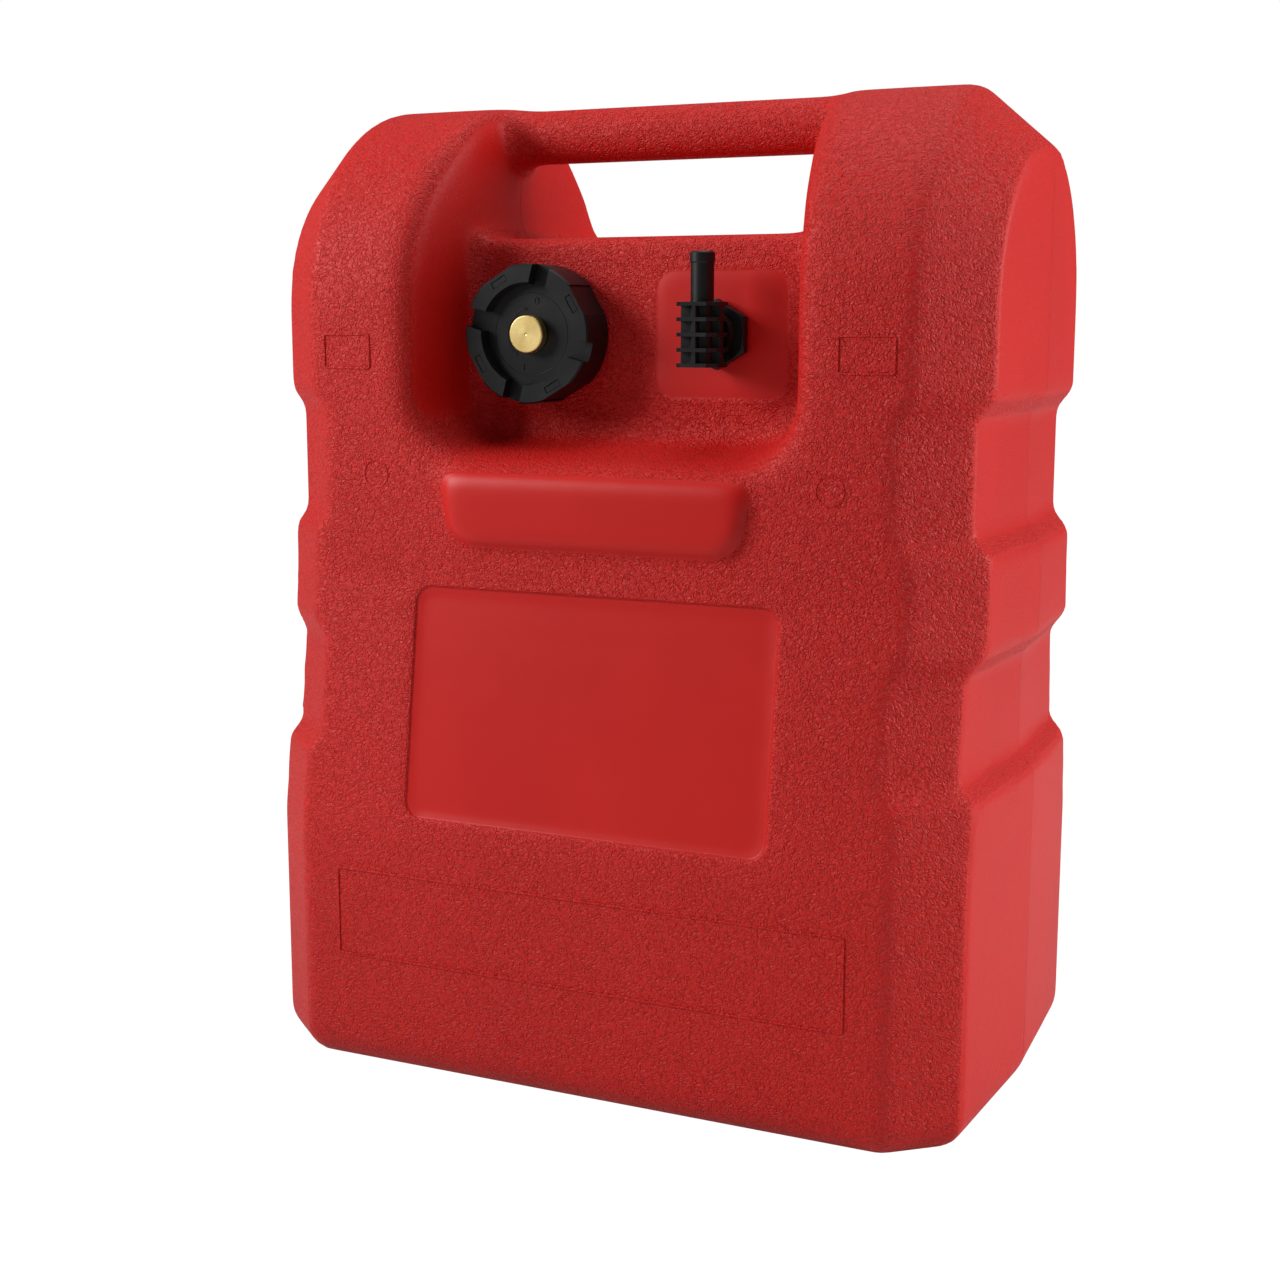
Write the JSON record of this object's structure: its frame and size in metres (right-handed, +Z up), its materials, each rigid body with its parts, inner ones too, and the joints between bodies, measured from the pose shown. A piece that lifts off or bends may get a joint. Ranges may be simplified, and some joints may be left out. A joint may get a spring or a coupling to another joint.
{
  "type": "outboard fuel tank",
  "caption": "Upright portable fuel tank with a bar handle, a vented screw cap and a swivelling hose outlet in a front recess.",
  "frame": {"origin": "middle of the base, on the surface that the tank stands on", "axes": "+Z up, front with the cap and the outlet faces -Y, +X to the right seen from the front"},
  "size_m": [0.374, 0.237, 0.48],
  "materials": {
    "red_tank": "leather-grained red polyethylene",
    "black_cap": "satin black",
    "black_plastic": "satin black",
    "white_plastic": "natural moulded",
    "seal_rubber": "matt",
    "tube_rubber": "matt",
    "clip_steel": "plain spring steel",
    "mesh_steel": "woven wire",
    "brass": "turned"
  },
  "bodies": {
    "tank": {"tank_shell": "red_tank", "gland_nut": "black_plastic", "gland_washer": "seal_rubber", "pickup_elbow": "black_plastic", "pickup_tube": "tube_rubber", "tube_clips": "clip_steel", "strainer_cage": "white_plastic", "strainer_mesh": "mesh_steel"},
    "outlet": {"outlet_elbow": "black_plastic", "stem_rings": "seal_rubber", "stem_clip": "clip_steel"},
    "cap_seal": {"cap_gasket": "seal_rubber"},
    "cap": {"cap_cover": "black_cap", "cap_core": "black_cap", "vent_bush": "brass", "vent_seat": "black_plastic"},
    "vent_pad": {"vent_seal": "seal_rubber"},
    "vent": {"vent_screw": "brass", "vent_ring": "seal_rubber"}
  },
  "joints": [
    {"name": "outlet_swivel", "type": "hinge", "parent": "tank", "child": "outlet", "pos_m": [0.0438, -0.0734, 0.3665], "axis": [0, -1, 0], "range_deg": [-90, 90]},
    {"name": "cap_lift", "type": "slide", "parent": "tank", "child": "cap_seal", "axis": [0, -1, 0], "range_m": [0, 0.0091]},
    {"name": "cap_turn", "type": "hinge", "parent": "cap_seal", "child": "cap", "pos_m": [-0.0475, -0.06, 0.3665], "axis": [0, -1, 0], "range_deg": [0, 810]},
    {"name": "vent_rise", "type": "slide", "parent": "cap", "child": "vent_pad", "axis": [0, -1, 0], "range_m": [0, 0.0015]},
    {"name": "vent_turn", "type": "hinge", "parent": "vent_pad", "child": "vent", "pos_m": [-0.0475, -0.07, 0.3665], "axis": [0, -1, 0], "range_deg": [0, 175]}
  ],
  "couplings": [
    {"joint": "cap_lift", "follows": "cap_turn", "m_per_rad": 0.00063662},
    {"joint": "vent_rise", "follows": "vent_turn", "m_per_rad": 0.00047746}
  ]
}
